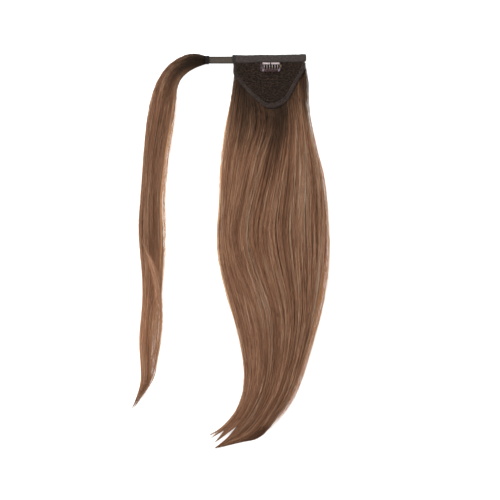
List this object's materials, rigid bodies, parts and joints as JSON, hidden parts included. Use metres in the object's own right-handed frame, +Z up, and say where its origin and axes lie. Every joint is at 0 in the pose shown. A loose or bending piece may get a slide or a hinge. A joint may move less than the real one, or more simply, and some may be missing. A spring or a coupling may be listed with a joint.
{
  "type": "ponytail hairpiece",
  "caption": "Wrap-around ponytail of long straight hair on a bound knitted base with a snap clip, a fastening band and a wrapping strand on a strap, lying flat with the inside of the base up.",
  "frame": {"origin": "middle of the outline of the whole piece, on the table that it lies on", "axes": "+Z up off the table, out of the inside of the base; +Y from the hair's tips towards the base's band; -X towards the wrapping strand"},
  "size_m": [0.2476, 0.5005, 0.0169],
  "materials": {
    "hair": "straight brown hair, darker at the root",
    "hair_strand": "straight brown hair, a little lighter",
    "knit": "black elastic knit",
    "binding_tape": "folded black-brown tape",
    "band_tape": "brushed loop tape",
    "strap_tape": "woven olive-grey tape",
    "collar_thread": "wound black thread",
    "clip_steel": "bronze-brown lacquered spring steel",
    "comb_steel": "glossy bronze-brown lacquered spring steel",
    "brass": "polished"
  },
  "bodies": {
    "hairpiece": {"weft_base": "knit", "edge_binding": "binding_tape", "loop_band": "band_tape", "hook_strap": "strap_tape", "strand_collar": "collar_thread", "wrap_strand": "hair_strand", "ponytail_hair": "hair", "clip_frame": "clip_steel", "clip_rivet": "brass"},
    "clip_comb": {"clip_comb": "comb_steel"}
  },
  "joints": [
    {"name": "comb_hinge", "type": "hinge", "parent": "hairpiece", "child": "clip_comb", "pos_m": [0.05, 0.23882, 0.0063], "axis": [-1, 0, 0], "range_deg": [0, 70]}
  ]
}
